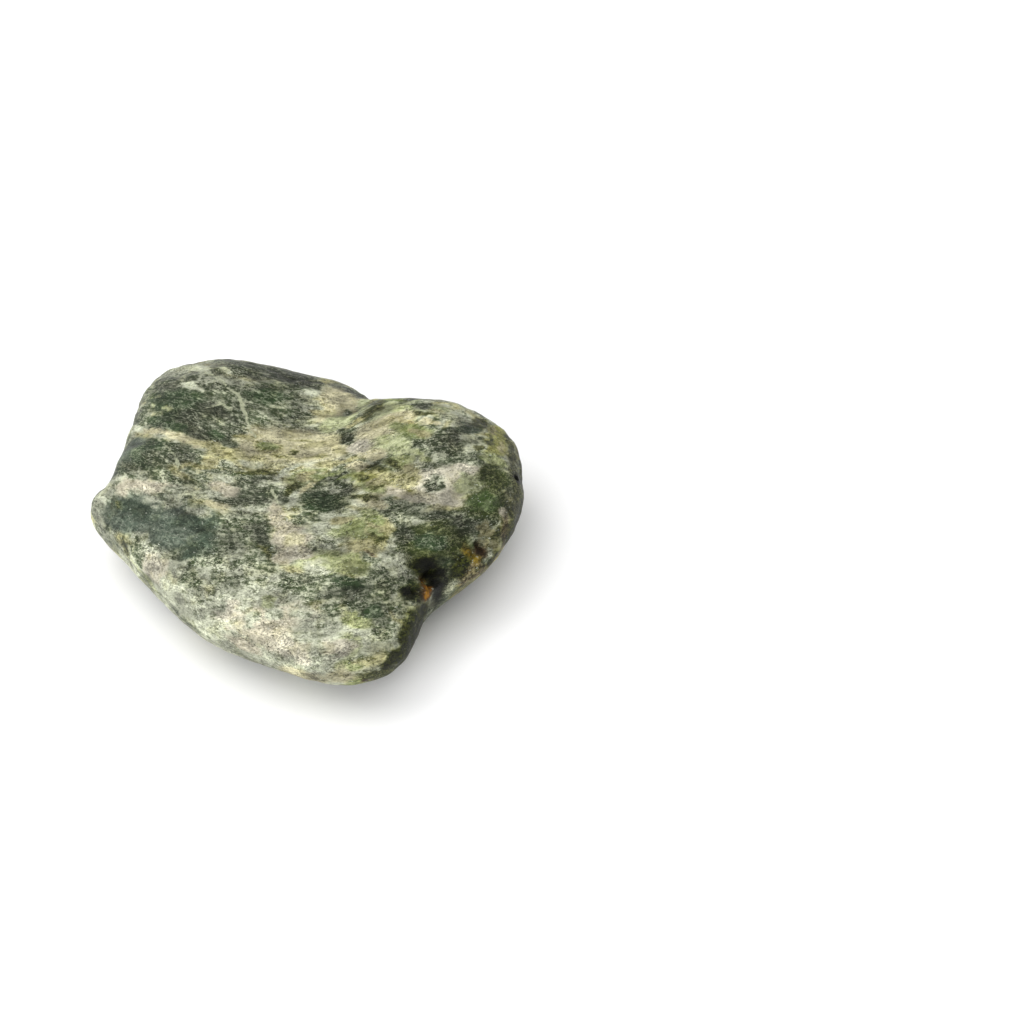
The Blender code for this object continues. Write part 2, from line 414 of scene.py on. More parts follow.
# %% Patches of the top, from the back left to the right front
TOP_PATCHES = (
    # the hump at the back left
    (-22, 24, 13, 9, -60, "grey mottle"),
    (-25.5, 20.5, 10, 3.4, -58, "flecked green"),
    (-28, 17, 8, 3, -66, "grey mottle"),
    (-26.2, 14.6, 6, 2.6, -58, "flecked green"),
    (-16, 18.5, 10, 7, -40, "deep grey"),
    (-20, 14, 15, 5.6, -42, "deep green"),
    (-23.4, 16.8, 6, 3.6, -46, "deep green"),
    (-22.8, 20.8, 9, 3.6, -52, "deep grey"),
    (-17.4, 22.5, 9, 2, -62, "pale grey"),
    (-18, 17.2, 6, 1.3, -38, "pale grey"),
    (-13.6, 18.6, 6, 2.4, -36, "grey mottle"),
    (-13.8, 15.5, 6, 2.4, -38, "deep grey"),
    (-16.4, 17.9, 3.6, 1.6, -38, "grey mottle"),
    (-12.8, 21, 4.4, 1.6, -40, "grey mottle"),
    (-24, 17.9, 2.2, 0.6, -28, "pale green"),
    (-25, 16, 2.6, 0.6, -32, "pale green"),
    (-22, 14, 2.6, 0.5, -32, "pale green"),
    (-7, 22, 16, 6.5, 0, "deep grey"),
    (-11.6, 12.6, 9, 4, -30, "flecked green"),
    (-15, 9.6, 12, 4, -28, "deep grey"),
    (-11, 9, 6, 3.6, -30, "flecked green"),
    (-20.4, 9.8, 6, 2, -35, "deep green"),
    (-23.6, 12.6, 3.4, 1.8, -45, "deep green"),
    (-13.5, 11.2, 8, 2.4, -30, "deep grey"),
    (-4.5, 12, 11, 8, -10, "flecked green"),
    (-6.6, 14.4, 6.5, 3, 8, "deep green"),
    (-2.5, 18, 6, 4, 0, "flecked green"),
    (0.2, 20.5, 4, 3, 0, "deep grey"),
    # the pale trough from the left edge to the saddle
    (-28.6, 14.2, 6, 1.2, -78, "pale grey"),
    (-26.2, 12.1, 5, 0.9, -52, "pale grey"),
    (-23.6, 9.8, 6, 1.5, -42, "cream"),
    (-19.8, 7.5, 8, 1.8, -28, "cream"),
    (-15.6, 5.2, 8, 2, -24, "cream"),
    (-2.5, 4.4, 21, 8.6, -6, "cream"),
    (-14, 7.6, 9, 2.2, -20, "deep grey"),
    (-10.8, 7.2, 4.6, 2.6, -10, "deep grey"),
    (-13.4, 7.3, 3, 1.4, -20, "deep green"),
    (-12.4, 3.8, 7, 3, -22, "olive mottle"),
    (-11.6, 4.2, 3, 1.2, -22, "flecked green"),
    (4, 15.2, 12, 6.4, 78, "cream"),
    (8, 15.5, 9, 2, 84, "pale green"),
    (4.8, 10, 7, 4, 50, "pale green"),
    (6, 12.8, 2, 1.6, 60, "flecked green"),
    (0.8, 13, 3.8, 3, 0, "grey mottle"),
    (-0.2, 17, 3.4, 2.4, 20, "pale grey"),
    # the middle
    (-5.4, 3.6, 4.4, 2.6, -16, "olive mottle"),
    (-5.2, 3.4, 3, 1.8, -20, "moss"),
    (-8.8, 1.4, 8, 2, -14, "olive mottle"),
    (-1.2, 2.3, 1.6, 0.5, 0, "deep olive"),
    (-12.2, 2.8, 3.4, 1.4, -20, "olive drab"),
    (-9, 6.2, 3.8, 1.4, -20, "olive drab"),
    (2, 4.4, 3.4, 1.6, 0, "olive drab"),
    (1.8, 12, 3, 2, 0, "olive drab"),
    (5.4, 2.6, 3, 1.4, 10, "olive drab"),
    (1, -2.6, 3, 1.2, 20, "grey mottle"),
    (-1, 5.2, 4, 0.8, -8, "olive mottle"),
    (2.6, 1.6, 4, 0.8, 4, "olive mottle"),
    (-6.5, -1.7, 9, 0.9, -4, "deep olive"),
    (5.4, 0, 7, 1.4, 12, "olive mottle"),
    (-3.4, 1.2, 4, 1.4, 0, "olive mottle"),
    (-1.6, -1.4, 4, 1.6, 0, "olive mottle"),
    (-2.6, -2.6, 6, 1.4, 44, "pale grey"),
    # the left end
    (-26.8, 6.8, 8, 5, -62, "slate"),
    (-23.2, 4.6, 9, 5, -38, "deep green"),
    (-18, 3.2, 8, 3.4, -30, "flecked green"),
    (-20.4, 1.6, 9, 3.2, -28, "deep grey"),
    (-15.6, -1, 10, 3.4, -16, "olive mottle"),
    (-21.2, -0.3, 6, 1.8, -28, "flecked green"),
    (-12.5, -1.4, 6, 1.4, -10, "flecked green"),
    (-14.8, -2.2, 3.6, 1.2, -20, "flecked green"),
    (-28.5, 1, 8, 1.8, -34, "grey mottle"),
    (-25.1, 1.1, 3, 1.2, -40, "grey mottle"),
    (-17.2, -0.8, 3.4, 1.4, -20, "flecked green"),
    (-25.4, -0.8, 9, 2.2, -28, "pink cream"),
    (-20.8, -3, 7, 1.8, -28, "pink cream"),
    (-16.4, -4.6, 9, 1.8, -26, "grey mottle"),
    (-14, -6.6, 8, 1.2, -22, "pale grey"),
    (-10.8, -5, 5, 2.4, -30, "pink cream"),
    (-11.8, -2.8, 4, 1.2, -10, "pale grey"),
    (-12.4, -6.2, 5, 1.6, -20, "pale grey"),
    (-30.4, -1, 5, 5, 60, "grey mottle"),
    (-30.6, 0.6, 4, 2, 60, "pale grey"),
    (-28.6, -2.6, 1.8, 0.6, -40, "tan"),
    (-30.4, -2.6, 3, 2.4, 60, "pale grey"),
    (-18.6, -5.4, 7, 0.9, -28, "deep grey"),
    # the smooth slate area of the left front
    (-26.4, -5.4, 10, 5, -34, "slate"),
    (-20, -9, 20, 7, -34, "slate"),
    (-14.5, -12.2, 9, 6.5, -25, "dark slate"),
    (-26.6, -3.8, 4, 0.9, -34, "deep olive"),
    (-24.8, -4.8, 7, 2.2, -32, "dark slate"),
    (-18.8, -6.3, 4, 1.2, -28, "grey mottle"),
    (-15.2, -8.8, 4, 1.4, -28, "grey mottle"),
    (-22, -4.6, 4, 1.2, -30, "pale grey"),
    (-23.6, -9.5, 4, 1.6, -40, "pale grey"),
    (-20.6, -7.9, 5, 1.6, -32, "slate"),
    (-17.5, -12, 6, 3, -30, "slate"),
    (-14, -15.6, 7, 2, -14, "dark slate"),
    (-22.4, -12.6, 10, 2.6, -40, "grey mottle"),
    (-26.9, -9.2, 6, 1.4, -45, "grey mottle"),
    (-26, -9.4, 5, 0.7, -48, "deep olive"),
    (-7.6, -12.6, 9, 7, -12, "flecked green"),
    (-5.6, -13.8, 5, 2, -56, "deep grey"),
    (-3.8, -17, 4, 1.2, -56, "deep olive"),
    (-8.4, -7, 9, 2.2, 0, "deep grey"),
    (-6.3, -5, 3.6, 3.4, 0, "deep grey"),
    (-12, -8.5, 5, 1.4, -20, "cream"),
    (-7.2, -8.9, 7, 1, -3, "pale grey"),
    (-3.2, -10.6, 6, 2.2, -72, "pink cream"),
    (-1.4, -15, 7, 2.6, -62, "pink cream"),
    (-9.5, -18.4, 13, 5, -8, "flecked green"),
    (-11, -19.6, 8, 3, -12, "grey mottle"),
    (-9, -17.2, 3, 1, -8, "pale grey"),
    (-6.4, -19.4, 5, 1.4, -12, "grey mottle"),
    (-14.6, -18.8, 3.4, 1.8, -10, "pale grey"),
    (-19.6, -14.6, 6, 1.8, -40, "grey mottle"),
    (-16.2, -18, 3, 1.6, -60, "deep grey"),
    (-9, -21, 8, 1.2, -16, "flecked green"),
    (-13, -23.8, 14, 5, -28, "grey mottle"),
    (-4, -24.4, 12, 6, -12, "grey mottle"),
    (-20.5, -17.6, 13, 4.6, -48, "pale grey"),
    (-17.6, -17.2, 4, 2.2, -46, "pale grey"),
    (-20.2, -15.4, 4, 1.6, -40, "white"),
    (-15.2, -19.4, 3, 2, -30, "grey mottle"),
    (-15.6, -20.4, 5, 2, -40, "pale grey"),
    (-24.2, -11.2, 6, 1.8, -46, "grey mottle"),
    (-11.5, -24.6, 11, 3.4, -28, "pale grey"),
    (-9.4, -24, 5, 2.4, -16, "white"),
    (-7.6, -16.8, 2.4, 1.3, -10, "grey mottle"),
    (-13.9, -19.3, 3, 1.6, -20, "pale grey"),
    (-8, -22.4, 7, 1.8, -12, "pale grey"),
    (-1, -22, 6, 2, -10, "flecked green"),
    (-1, -27.2, 15, 5, -8, "pink cream"),
    (-4.3, -27.2, 5, 2.4, -20, "pink cream"),
    (-3.6, -23.4, 4.4, 3, -50, "pale grey"),
    (-3.6, -23.8, 2.4, 1.4, -20, "pale green"),
    (-5.8, -25.3, 3, 1.8, 0, "grey mottle"),
    (0.8, -26, 3.2, 1.6, 0, "grey mottle"),
    (6, -28.4, 12, 6, 2, "pale grey"),
    (8.6, -29.6, 4, 2.4, 0, "pale green"),
    (5.5, -26, 3.4, 1.6, 0, "flecked green"),
    (4.8, -27.3, 3, 1.4, 0, "grey mottle"),
    # the arch and the small dome under it
    (-1.2, -5.8, 4, 1.8, 56, "deep olive"),
    (0.4, -2.4, 6, 1.4, 30, "sage"),
    (4.2, -7, 8.6, 7.5, 10, "flecked green"),
    (3.2, -7.8, 5.4, 4.2, 10, "deep green"),
    (7, -4.8, 3, 1.6, 0, "deep grey"),
    (5.2, -5.6, 2.6, 1.6, 10, "grey mottle"),
    (1.6, -5.2, 5, 0.9, 48, "cream"),
    (0.8, -2.8, 3, 1.3, 20, "olive drab"),
    (-1, -7.6, 4, 1.4, 70, "pale grey"),
    (7.6, -2.1, 11, 1.6, 12, "moss"),
    (10.6, -1.2, 5, 1.2, 0, "deep olive"),
    (5, -3.2, 6, 0.9, 24, "deep grey"),
    (10.8, -5, 5, 2, -10, "sage"),
    (10, -6.4, 4, 1.6, 0, "deep olive"),
    # under the dome
    (6.6, -12.6, 13, 6, 4, "pale grey"),
    (8.6, -13, 9, 5, 4, "pale green"),
    (8.6, -13.2, 6, 3, 0, "moss"),
    (3.8, -12.2, 4, 2.4, 0, "pale grey"),
    (8, -11.6, 3, 1, 10, "moss"),
    (6.4, -11.5, 3, 1.4, 10, "olive drab"),
    (11.8, -12.4, 4, 5, -10, "olive mottle"),
    (11.6, -12.8, 2.2, 1.6, 0, "moss"),
    (11.9, -14.2, 2.4, 1.4, 0, "deep olive"),
    (1.4, -11, 3.4, 2.2, 0, "flecked green"),
    (10.6, -9.4, 3.4, 2, 0, "sage"),
    (11.8, -11.4, 3, 2, 0, "olive drab"),
    (-0.6, -15.2, 6, 5, -30, "pink cream"),
    (0, -15.2, 3.2, 2.8, 0, "cream"),
    (-1.5, -17.4, 3.4, 2, -30, "pink cream"),
    (3.8, -16.2, 4.6, 2.2, 0, "grey mottle"),
    (1.6, -17.8, 3.4, 1.4, -10, "cream"),
    (2.4, -16.9, 1.6, 0.8, 0, "deep grey"),
    (7.6, -18.4, 9, 3.4, -10, "sage"),
    (3.4, -19.8, 6, 3, -10, "pale green"),
    (3.4, -20, 4, 2, -10, "pale grey"),
    (9.6, -15.6, 5, 3, 0, "olive drab"),
    (10.4, -17.3, 1.5, 1, -10, "tan"),
    (1.3, -17.2, 3.6, 1.8, -10, "pink cream"),
    (13.4, -18, 3.4, 2, -50, "pale grey"),
    # the right lobe
    (14, 12, 9, 7, 10, "pale green"),
    (13.4, 10.4, 7, 3, 20, "cream"),
    (10.6, 15, 5, 1.6, 84, "deep olive"),
    (9.2, 11.8, 5, 1, 66, "deep olive"),
    (7.6, 9.2, 4, 1, 50, "olive mottle"),
    (10.6, 7.6, 5, 2.6, 40, "cream"),
    (13.5, 16, 6, 1, -8, "moss"),
    (17.4, 13.6, 4.4, 2.2, 0, "deep grey"),
    (20, 13.6, 3, 2, 0, "pale green"),
    (23.2, 12.4, 6, 4.4, 55, "grey mottle"),
    (22.4, 13.2, 5, 0.9, 55, "pale grey"),
    (26.2, 13.4, 6, 1.8, 66, "deep olive"),
    (10.4, 6.6, 7, 6, 30, "cream"),
    (6.4, 4.8, 2.8, 2.2, -50, "deep grey"),
    (8.6, 3, 4, 3, 40, "white"),
    (15.8, 7.2, 7, 3.6, -16, "moss"),
    (17.2, 6.6, 4, 1.6, -20, "olive drab"),
    (15.4, 9, 6, 0.9, -12, "yellow cream"),
    (13.2, 4, 6, 4.2, -10, "pale green"),
    (16.6, 2.6, 5, 1.6, -30, "pale green"),
    (18, 10.8, 3.6, 1.4, -10, "deep olive"),
    (19, 9, 3, 1, -10, "cream"),
    (22.6, 7.6, 7, 3.4, 30, "deep grey"),
    (21.2, 4, 5.4, 4.2, -20, "deep grey"),
    (24.6, 9.8, 5, 2.2, 56, "deep green"),
    (28.8, 10.4, 13, 3.4, 82, "yellow green"),
    (28.4, 13.6, 4, 0.8, 76, "yellow cream"),
    (29.4, 8.8, 4, 0.8, 84, "yellow cream"),
    (27.4, 8.6, 7, 0.8, 80, "deep olive"),
    (30.9, 10, 9, 1.2, 100, "deep olive"),
    (31.6, 4, 6, 2.4, 84, "deep olive"),
    (25.8, 6, 6, 2.4, 50, "pale grey"),
    (28, 4.2, 5, 2.4, 30, "sage"),
    (15, 0.8, 5, 2.6, 10, "sage"),
    (13.6, 0, 3, 1, -30, "deep olive"),
    (11, 1.9, 4.4, 2.4, 20, "cream"),
    (23.8, 0.2, 8, 1.8, 12, "white"),
    (12.6, -3.4, 8, 3.4, -8, "olive mottle"),
    (9.8, -3.2, 3.6, 1.6, 0, "yellow green"),
    (11.6, -4.2, 3.2, 1.9, 0, "olive drab"),
    (8.2, -0.2, 3.4, 1.4, 20, "cream"),
    (15.8, -2.8, 4, 3, -20, "olive mottle"),
    (15.6, -5.6, 6, 1.6, -6, "pink cream"),
    (20.2, -3.2, 7.4, 6, 0, "white"),
    (16.2, -2.4, 3, 2.4, 0, "olive mottle"),
    (24.6, -2.2, 5, 2.4, 40, "pale green"),
    (21.6, -5.6, 9, 1.6, 12, "white"),
    (14.6, -7.7, 7, 2.4, 0, "flecked green"),
    (11.7, -7.5, 3.2, 1.8, 0, "cream"),
    (21.5, -8, 14, 2.6, 12, "flecked green"),
    (23, -8.4, 10, 0.8, 12, "deep grey"),
    (18, -9.9, 8, 1.2, 6, "grey mottle"),
    (29.2, 0.6, 7, 4.4, 30, "olive green"),
    (27.8, -3.8, 9, 4.6, 26, "olive green"),
    (27.2, -4, 6, 2.4, 26, "leaf green"),
    # the dark steep face at the right front
    (19.8, -12.6, 13, 5, 14, "olive green"),
    (19.4, -12.2, 6, 2.4, 14, "deep green"),
    (15.2, -12.2, 2.8, 4, 0, "deep grey"),
    (13.8, -14.4, 3, 1.2, 75, "grey mottle"),
    (15.2, -17, 4.4, 3.2, -60, "grey mottle"),
    (15.4, -21, 6, 3.2, 20, "deep grey"),
    (14.8, -23.4, 3, 1.6, 40, "grey mottle"),
    (18.4, -20.6, 4.4, 3, 60, "dark olive"),
    (15.6, -19.2, 3, 1.8, 20, "flecked green"),
    (16.6, -19.8, 3, 1.6, 40, "deep green"),
    (22.4, -17.4, 6, 2.4, 66, "flecked green"),
    (21.8, -18, 5, 1.1, 66, "pale grey"),
    (24.4, -13, 5, 1.8, 40, "dark olive"),
    (26.8, -13, 7, 2, 50, "tan"),
    (28.8, -10.6, 4, 2.4, 50, "dark olive"),
    (28.8, -7.8, 2.6, 1.2, 50, "dark olive"),
    (27.3, -8.2, 2.8, 1.3, 50, "olive drab"),
    (29.8, -4.2, 2, 1.6, 50, "pink cream"),
    (30.4, -6, 3, 1.8, 70, "tan"),
    (5, -23.6, 9, 2.6, -4, "flecked green"),
    (10.2, -23.6, 8, 5, -10, "flecked green"),
    (11.4, -24.4, 5, 1.8, 10, "deep grey"),
    (11.5, -24.9, 2.6, 1.6, 30, "deep green"),
    (8, -22.4, 5, 1.8, -10, "deep green"),
    (12.6, -20.6, 4, 2, -30, "flecked green"),
    (12.6, -26, 3.4, 1.6, 40, "flecked green"),
    (12.4, -28.4, 5, 2.6, 0, "pale grey"),
    (12.8, -27.2, 3.2, 1.8, 0, "flecked green"),
    (15.4, -24.2, 1.8, 1.2, 60, "grey mottle"),
    (9.4, -27, 4.4, 2.2, 0, "sage"),
    (14.8, -23.2, 2.6, 1.6, 60, "flecked green"),
    (17.6, -6.2, 4.2, 2, 0, "white"),
    (19.2, -5, 4, 1.4, 0, "white"),
    (24.5, 7, 3.4, 2, 40, "grey mottle"),
    (11.8, 8.5, 3.2, 1.6, 30, "olive drab"),
    # last touches all over the top
    (-4.8, -3.8, 2.4, 1.4, 20, "grey mottle"),
    (1.2, -17.2, 3, 1.8, -10, "white"),
    (27.8, -9.2, 2.4, 1.4, 50, "olive drab"),
    (-13.5, 1.2, 3, 1.6, -16, "olive mottle"),
    (11.8, -11, 2.6, 1.8, 0, "moss"),
    (-2.8, -25.4, 2.6, 1.4, -10, "grey mottle"),
    (-13.8, -9, 3, 1.6, -24, "pale grey"),
    (-10.8, -23, 3, 1.8, -20, "grey mottle"),
    (-25.8, 16.8, 2.4, 1.6, -50, "flecked green"),
    (-1, -30.4, 4, 1.8, -4, "white"),
    (16.2, -0.8, 2.8, 1.8, 0, "olive drab"),
    (14.8, -21.8, 2.4, 1.5, 40, "pale grey"),
    (9.2, -3.2, 2.2, 1.2, 0, "deep olive"),
    (-13.6, 0.8, 2.4, 1.3, -16, "olive drab"),
    (11.6, -4.6, 1.8, 0.9, 0, "deep olive"),
    (11, -18, 2.2, 1.3, -20, "flecked green"),
    (13.1, -21.2, 2.4, 1.4, 20, "deep grey"),
    (26.5, 5.6, 2.4, 1.3, 60, "deep olive"),
    (0.5, -11.4, 2, 1.3, 0, "flecked green"),
    (5.4, 2.3, 2.2, 1.2, 10, "olive drab"),
    (-2.8, -21.2, 2.4, 1.3, -10, "pale grey"),
    (18.6, 2.9, 2.4, 1.4, -20, "flecked green"),
    (3.2, -20.3, 2.4, 1.3, -10, "grey mottle"),
    (-12.9, 20.6, 2.4, 1.3, -40, "grey mottle"),
    (-18.6, -5.2, 2.6, 1, -28, "pale grey"),
)

for patch in TOP_PATCHES:
    paint("top", *patch)

# %% [markdown]
# The steep sides can't be reached from above: a patch that is put there in plan would smear down the whole edge. They
# are painted by bearing, in degrees anticlockwise from +X, and height above the ground. The front is the palest side
# of the stone, the right front holds the pits with their rust, and the rest stays mostly ground colour. The last
# patches, low on the rim at the right front, are lighter: partly the rim's tan stone, partly painted light on a side
# that the lamps leave in shade.

# %% Patches of the sides
SIDE_PATCHES = (
    (-146, 8, 20, 7, 0, "pale grey"),
    (-150, 10, 8, 2, -10, "pale green"),
    (-155, 9.5, 5, 2.6, 0, "grey mottle"),
    (-155, 13.7, 4.6, 2.6, -20, "flecked green"),
    (-145, 13, 5, 3, -20, "white"),
    (-128, 15.6, 3.4, 2, 0, "flecked green"),
    (-148, 12.2, 4, 2, -20, "white"),
    (-115, 11.5, 4, 2, 0, "grey mottle"),
    (-122, 7.5, 20, 8, -6, "pale grey"),
    (-126, 9, 12, 1, -8, "flecked green"),
    (-100, 7, 20, 9, -4, "pale grey"),
    (-104, 10.5, 6, 2.5, 0, "pink cream"),
    (-84, 7, 16, 9, 0, "pale grey"),
    (-88, 7.5, 8, 4, 0, "cream"),
    (-90, 12.2, 6, 2.6, 0, "white"),
    (-76, 13.3, 5, 1.8, 0, "white"),
    (-76, 11.3, 4, 1.6, 0, "sage"),
    (-78, 9, 5, 4, 0, "cream"),
    (-74, 6.5, 4, 4, 0, "moss"),
    (-71, 7.5, 2.4, 2, 0, "brown"),
    (-71, 3, 6, 4, 0, "deep olive"),
    (-66, 10, 4, 1.6, 60, "deep olive"),
    (-67, 7.5, 4, 4, 0, "deep olive"),
    (-70, 8.2, 4, 1.8, 0, "deep olive"),
    (-62, 9.6, 6, 2.6, 0, "dark olive"),
    (-57, 7.5, 4.4, 12, 0, "dark olive"),
    (-62, 5, 6, 7, 0, "dark olive"),
    (-66, 3, 8, 6, 0, "dark olive"),
    (-54, 7.5, 8, 11, 0, "dark olive"),
    (-40, 8, 8, 4, 10, "flecked green"),
    (-37, 10.2, 5, 1.3, 10, "grey mottle"),
    (-41, 9.6, 3, 2, 30, "pale grey"),
    (-30, 10.2, 4.4, 1, 20, "pale grey"),
    (-26, 7, 9, 7, 0, "dark olive"),
    (-26, 9.5, 6, 2, 0, "tan"),
    (-14, 7.5, 9, 8, 0, "dark olive"),
    (-14, 10.5, 6, 2, 0, "tan"),
    (-21, 11.8, 3, 1.8, 20, "grey mottle"),
    (-4, 9.5, 8, 8, 0, "dark olive"),
    (4, 8.5, 10, 8, 0, "dark olive"),
    (7, 10, 8, 4, 0, "dark olive"),
    (3, 13, 12, 3.2, 0, "deep olive"),
    (16, 8.5, 8, 7, 0, "deep olive"),
    (172, 9, 8, 5, 0, "pale grey"),
    (-174, 8, 4, 5, 0, "grey mottle"),
    (160, 9, 8, 6, 0, "slate"),
    # Lighter patches low on the right front rim: partly tan stone, partly painted light where the lamps leave shade.
    (-60, 5, 12, 5, 0, "deep olive"),
    (-26, 6.8, 9, 5, 0, "olive mottle"),
    (-14, 7.2, 8, 5.5, 0, "tan"),
    (-14, 8.2, 6, 3, 0, "yellow cream"),
    (-4, 7.6, 7, 4, 0, "tan"),
)

for patch in SIDE_PATCHES:
    paint("side", *patch)

# %% [markdown]
# Rust and soot-black residue fill the pits, where iron has weathered. The black in the pits is partly that residue and
# partly painted shade of the holes' depth. They are laid last, with a softer edge than the patches, because a stain
# thins out as it spreads.

# %% The pits' stains and their painted shade
STAIN_EDGE = 0.6
STAINS = (
    ("top", 18.8, -15.2, 6, 2.2, 6, "dark olive"),
    # Black in the deep pit: partly residue, partly painted shade of the hole.
    ("top", 19, -15.8, 3.4, 1, 6, "black"),
    ("top", 19.6, -16.8, 2.8, 1.8, 20, "black"),
    ("top", 20.8, -15.7, 2.4, 0.8, 14, "black"),
    ("top", 16.4, -20.2, 3.4, 2.2, 40, "dark olive"),
    # Black in the small pit below it: partly residue, partly painted shade of the hole.
    ("top", 16.2, -20.4, 2.2, 1.4, 40, "black"),
    ("side", -45, 12.7, 2.8, 2.6, 0, "soot"),
    ("side", -44.5, 12.8, 2.4, 2.2, 0, "rust"),
    ("side", -44.5, 13, 1.5, 1.2, 0, "bright rust"),
    ("top", 19.8, -2.9, 2.6, 2, 50, "grey mottle"),
    ("top", 18.9, -3.8, 1.3, 0.9, 40, "deep grey"),
    ("top", 19.9, -2.4, 1.3, 0.9, 70, "deep grey"),
    ("top", 20.7, -3.3, 1.3, 0.8, 20, "deep grey"),
    ("top", 19.5, -1.4, 0.9, 0.6, 20, "deep grey"),
    ("top", 18.7, -2.6, 0.9, 0.6, 0, "deep grey"),
    ("side", -24.4, 12.6, 1.6, 2.6, 0, "ochre"),
    ("side", -20.6, 13.2, 2, 1.4, 0, "soot"),
    ("top", 28.8, -7.8, 2.6, 0.9, 50, "deep olive"),
    ("side", 7, 14, 2.4, 2.2, 0, "dark olive"),
    # Black in the small pit on the right: partly residue, partly painted shade of the hole.
    ("side", 7, 14, 1.5, 1.4, 0, "black"),
)

for side, first, second, length, width, turn, pigment in STAINS:
    paint(side, first, second, length, width, turn, pigment, edge=STAIN_EDGE)

# %% [markdown]
# The paint also carries the light and shade of the relief. Each point's recipe is darkened a little where its ripple
# is low and lightened where it is high: partly the dark residue that a real stone keeps in its hollows, partly painted
# shade in the hollows and painted light on the ridges.

# %% Residue with painted shade in the hollows and painted light on the ridges
RESIDUE_AND_PAINTED_SHADING = 1.8
RESIDUE_AND_PAINTED_SHADING_LIMITS = (0.6, 1.2)
# Painted shade where the ripple is low and painted light where it is high, partly dark residue in the hollows.
residue_and_painted_shading = np.clip(1 + RESIDUE_AND_PAINTED_SHADING * rippled, *RESIDUE_AND_PAINTED_SHADING_LIMITS)
paint_coat[:, 0:6] *= residue_and_painted_shading[:, None]
print("painted", len(TOP_PATCHES) + len(SIDE_PATCHES) + len(STAINS), "patches")

# %% [markdown]
# A few veins are thinner than the skin's faces, so painting them on the points would blur them. We store each point's
# distance from the nearest vein instead. Distance changes evenly over a face, and the material draws the vein's edge
# as sharp as it likes.

# %% Thin veins
WANDER = 0.25
WANDER_SPACING = 1.4
WANDER_SEED = 61
# Each vein is a route of plan points on the top.
VEINS = (
    ((-16.5, 21.0), (-13.6, 17.6), (-12.0, 15.2), (-10.6, 14.9), (-10.0, 12.6), (-9.3, 10.4), (-8.4, 7.6), (-7.4, 6.0)),
    ((-23.0, 8.0), (-21.0, 5.0), (-19.4, 2.4), (-18.4, 0.0)),
    ((-4.8, -4.0), (-3.8, -6.2), (-3.2, -8.0)),
    ((-29.4, 11.4), (-28.4, 13.0), (-27.0, 12.6), (-25.6, 11.4)),
    ((-15.4, 12.2), (-13.4, 12.6), (-11.6, 11.6)),
)


def distance_to_vein(at, route):
    stops = [skin.place("top", x, y) for x, y in route]
    nearest = np.full(len(at), np.inf)
    for start, end in zip(stops[:-1], stops[1:]):
        run = end - start
        share = np.clip((at - start) @ run / (run @ run), 0, 1)
        nearest = np.minimum(nearest, np.linalg.norm(at - start - share[:, None] * run, axis=1))
    return nearest


shifts = [noise(points, WANDER_SPACING, WANDER_SEED + axis) for axis in range(3)]
wandering = points + WANDER * np.stack(shifts, axis=1)
vein_distance = np.min([distance_to_vein(wandering, route) for route in VEINS], axis=0)
print("laid", len(VEINS), "veins")

# %% [markdown]
# What we painted now goes into the mesh as attributes, which a material reads by name. Colours are worked out above
# as the eye sees them, but light adds up in linear values, so they are converted here. They are also divided by how
# bright the lights make a white surface, or the stone would come out paler than it is.

# %% Store the paint on the skin
WHITE_LEVEL = 1.09
FIELD_NAMES = {"FLOAT": "value", "FLOAT_VECTOR": "vector", "FLOAT_COLOR": "color"}


def to_linear(colour):
    share = np.asarray(colour, float) / 255
    return np.where(share <= 0.04045, share / 12.92, ((share + 0.055) / 1.055) ** 2.4)


def store(mesh, name, kind, values):
    field = mesh.attributes.new(name, kind, "POINT")
    field.data.foreach_set(FIELD_NAMES[kind], values.ravel())


def opaque_colour(coat):
    return np.column_stack([to_linear(coat) / WHITE_LEVEL, np.ones(len(coat))])


store(pebble.data, "dark_grains", "FLOAT_COLOR", opaque_colour(paint_coat[:, 0:3]))
store(pebble.data, "pale_grains", "FLOAT_COLOR", opaque_colour(paint_coat[:, 3:6]))
store(pebble.data, "pale_share", "FLOAT", paint_coat[:, 6])
store(pebble.data, "grit", "FLOAT", paint_coat[:, 7])
store(pebble.data, "vein", "FLOAT", vein_distance)
store(pebble.data, "layers", "FLOAT_VECTOR", layered)
store(pebble.data, "place", "FLOAT_VECTOR", points)
print("stored the grains, grit, veins, layers and places")

# %% [markdown]
# Materials are node graphs, and sums of noises are easier to read as sums. This small class wraps a node's output, so
# that +, - and * between wrapped values, or with plain numbers on either side, add the Math nodes for us. Colours go
# through Mix and Vector Math nodes, because a Math node would turn them grey.

# %% Shader maths as Python expressions
MIDDLE = 0.5


class Value:
    """One output socket, with Python's operators adding the nodes that work on it."""

    def __init__(self, graph, socket):
        self.graph = graph
        self.socket = socket

    def maths(self, operation, *others):
        inputs = dict(enumerate((self, *others)))
        return self.graph.node("ShaderNodeMath", {"operation": operation}, inputs)

    def __add__(self, other):
        return self.maths("ADD", other)

    def __sub__(self, other):
        return self.maths("SUBTRACT", other)

    def __mul__(self, other):
        return self.maths("MULTIPLY", other)

    def __rsub__(self, other):
        return self.graph.node("ShaderNodeMath", {"operation": "SUBTRACT"}, {0: other, 1: self})

    __radd__ = __add__
    __rmul__ = __mul__

    def off_middle(self):
        """How far a noise is from its middle value, which makes thin winding lines where it is small."""
        return (self - MIDDLE).maths("ABSOLUTE")

    def rises(self, low, high):
        """0 below low, 1 above high, and a smooth step between."""
        settings = {"interpolation_type": "SMOOTHSTEP"}
        return self.graph.node("ShaderNodeMapRange", settings, {"Value": self, "From Min": low, "From Max": high})


